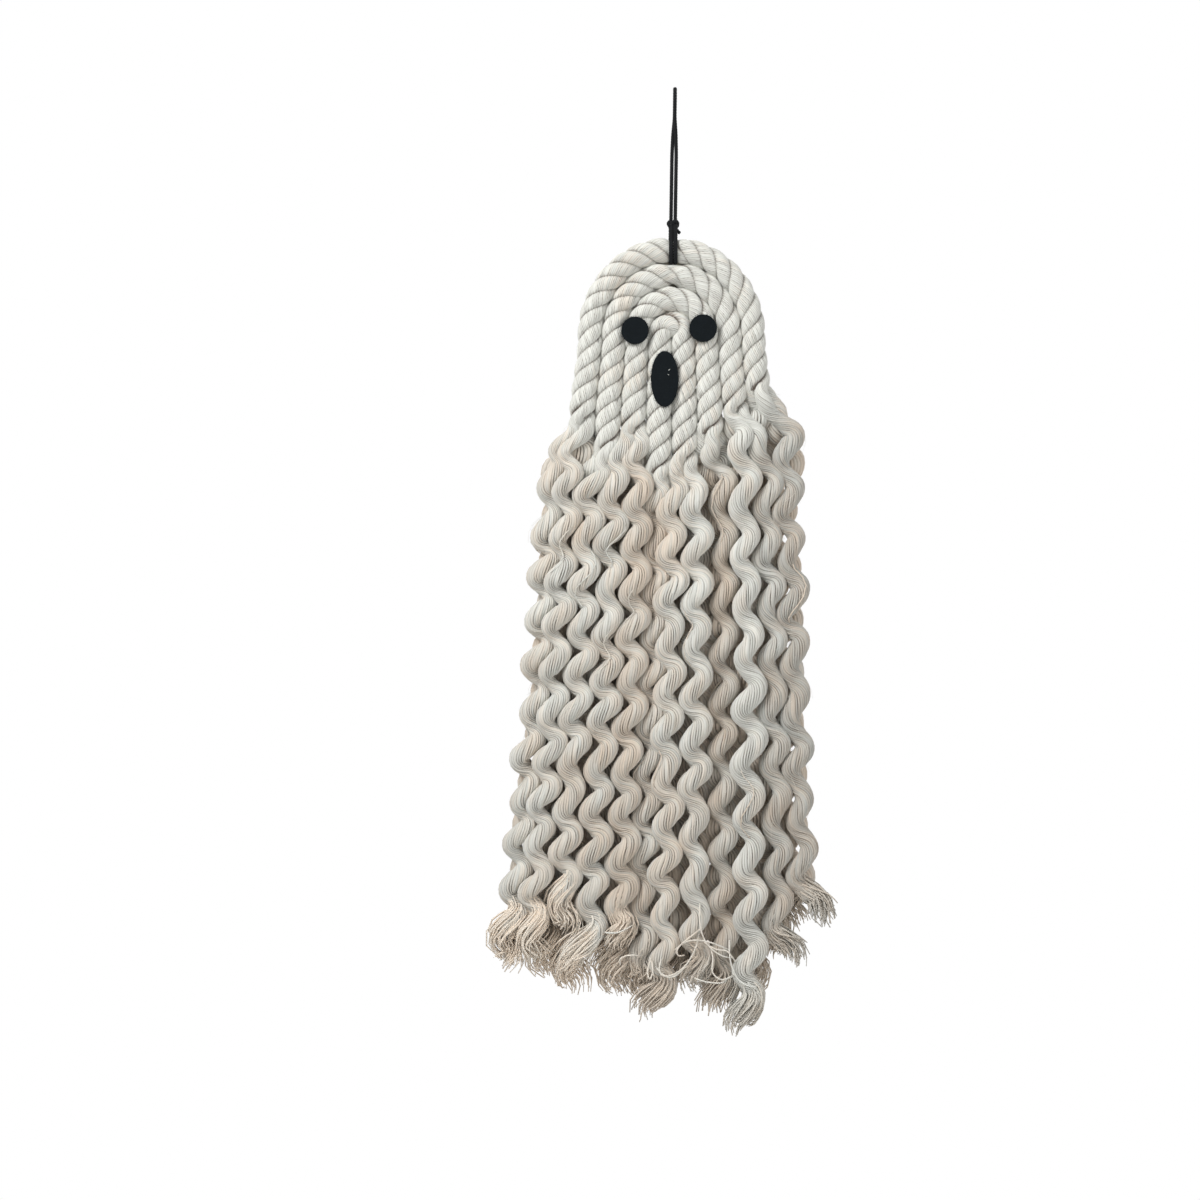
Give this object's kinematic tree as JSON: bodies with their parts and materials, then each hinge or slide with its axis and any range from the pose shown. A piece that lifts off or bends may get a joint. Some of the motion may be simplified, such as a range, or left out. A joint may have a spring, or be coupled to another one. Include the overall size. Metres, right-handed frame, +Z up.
{
  "type": "hanging rope ghost decoration",
  "caption": "Hanging ghost of cotton rope: nested rope arches form the head, the unlaid wavy strands hang as the body, with black felt eyes and mouth and a black hanging cord.",
  "frame": {"origin": "top of the hanging loop, where the decoration hangs from a hook or branch", "axes": "+Z up, -Y towards the viewer of the face, +X to the viewer's right"},
  "size_m": [0.1281, 0.0233, 0.3849],
  "materials": {
    "natural_cotton": "undyed cotton rope strands, matt and fibrous",
    "black_felt": "black craft felt, matt",
    "cream_felt": "cream craft felt, matt",
    "black_cord": "black braided cord"
  },
  "bodies": {
    "root": {"inner_rope_strand_1": "natural_cotton", "inner_rope_strand_2": "natural_cotton", "inner_rope_strand_3": "natural_cotton", "second_rope_strand_1": "natural_cotton", "second_rope_strand_2": "natural_cotton", "second_rope_strand_3": "natural_cotton", "third_rope_strand_1": "natural_cotton", "third_rope_strand_2": "natural_cotton", "third_rope_strand_3": "natural_cotton", "outer_rope_strand_1": "natural_cotton", "outer_rope_strand_2": "natural_cotton", "outer_rope_strand_3": "natural_cotton", "left_eye": "black_felt", "right_eye": "black_felt", "mouth": "black_felt", "felt_backing": "cream_felt", "hanging_cord": "black_cord"}
  },
  "joints": []
}
